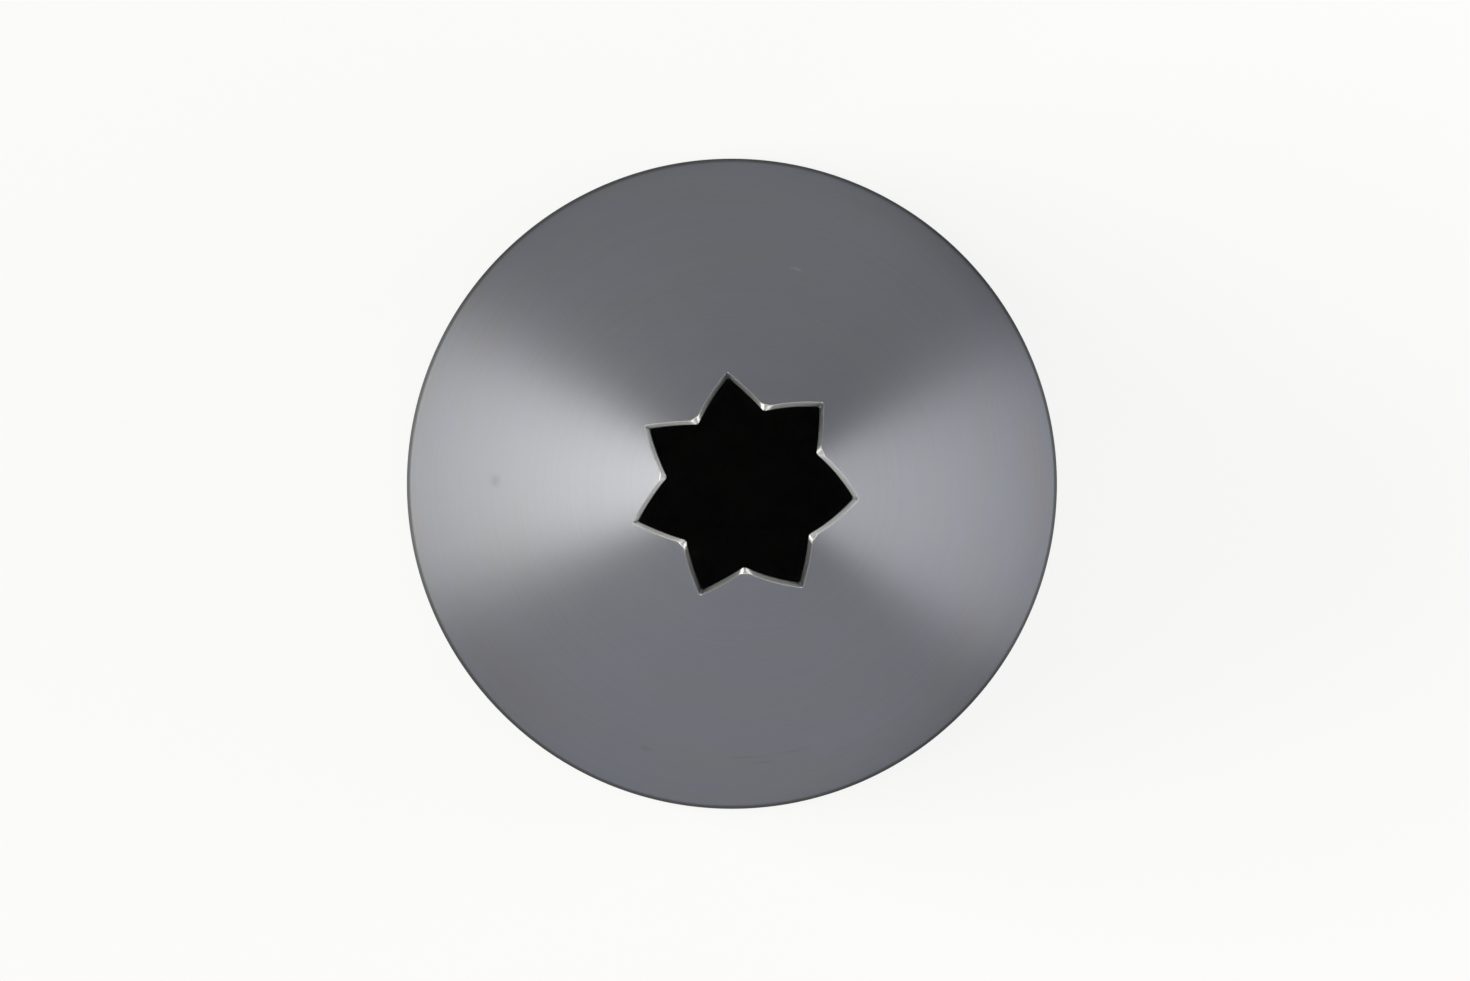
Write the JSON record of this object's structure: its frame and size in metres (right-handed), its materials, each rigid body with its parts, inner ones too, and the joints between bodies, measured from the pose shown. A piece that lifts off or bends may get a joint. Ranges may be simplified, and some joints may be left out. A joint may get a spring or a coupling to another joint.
{
  "type": "star piping nozzle",
  "caption": "Tapered stainless steel piping nozzle: a thin seamless cone, open at both ends, with its narrow end cut into teeth that leave a star-shaped outlet.",
  "frame": {"origin": "centre of the base rim, on the plane that the nozzle stands on", "axes": "+Z along the cone's axis from the base rim to the teeth, +X through the root of one notch"},
  "size_m": [0.032, 0.032, 0.05],
  "materials": {
    "stainless_steel": "satin, polished round the axis"
  },
  "bodies": {
    "root": {"nozzle": "stainless_steel"}
  },
  "joints": []
}
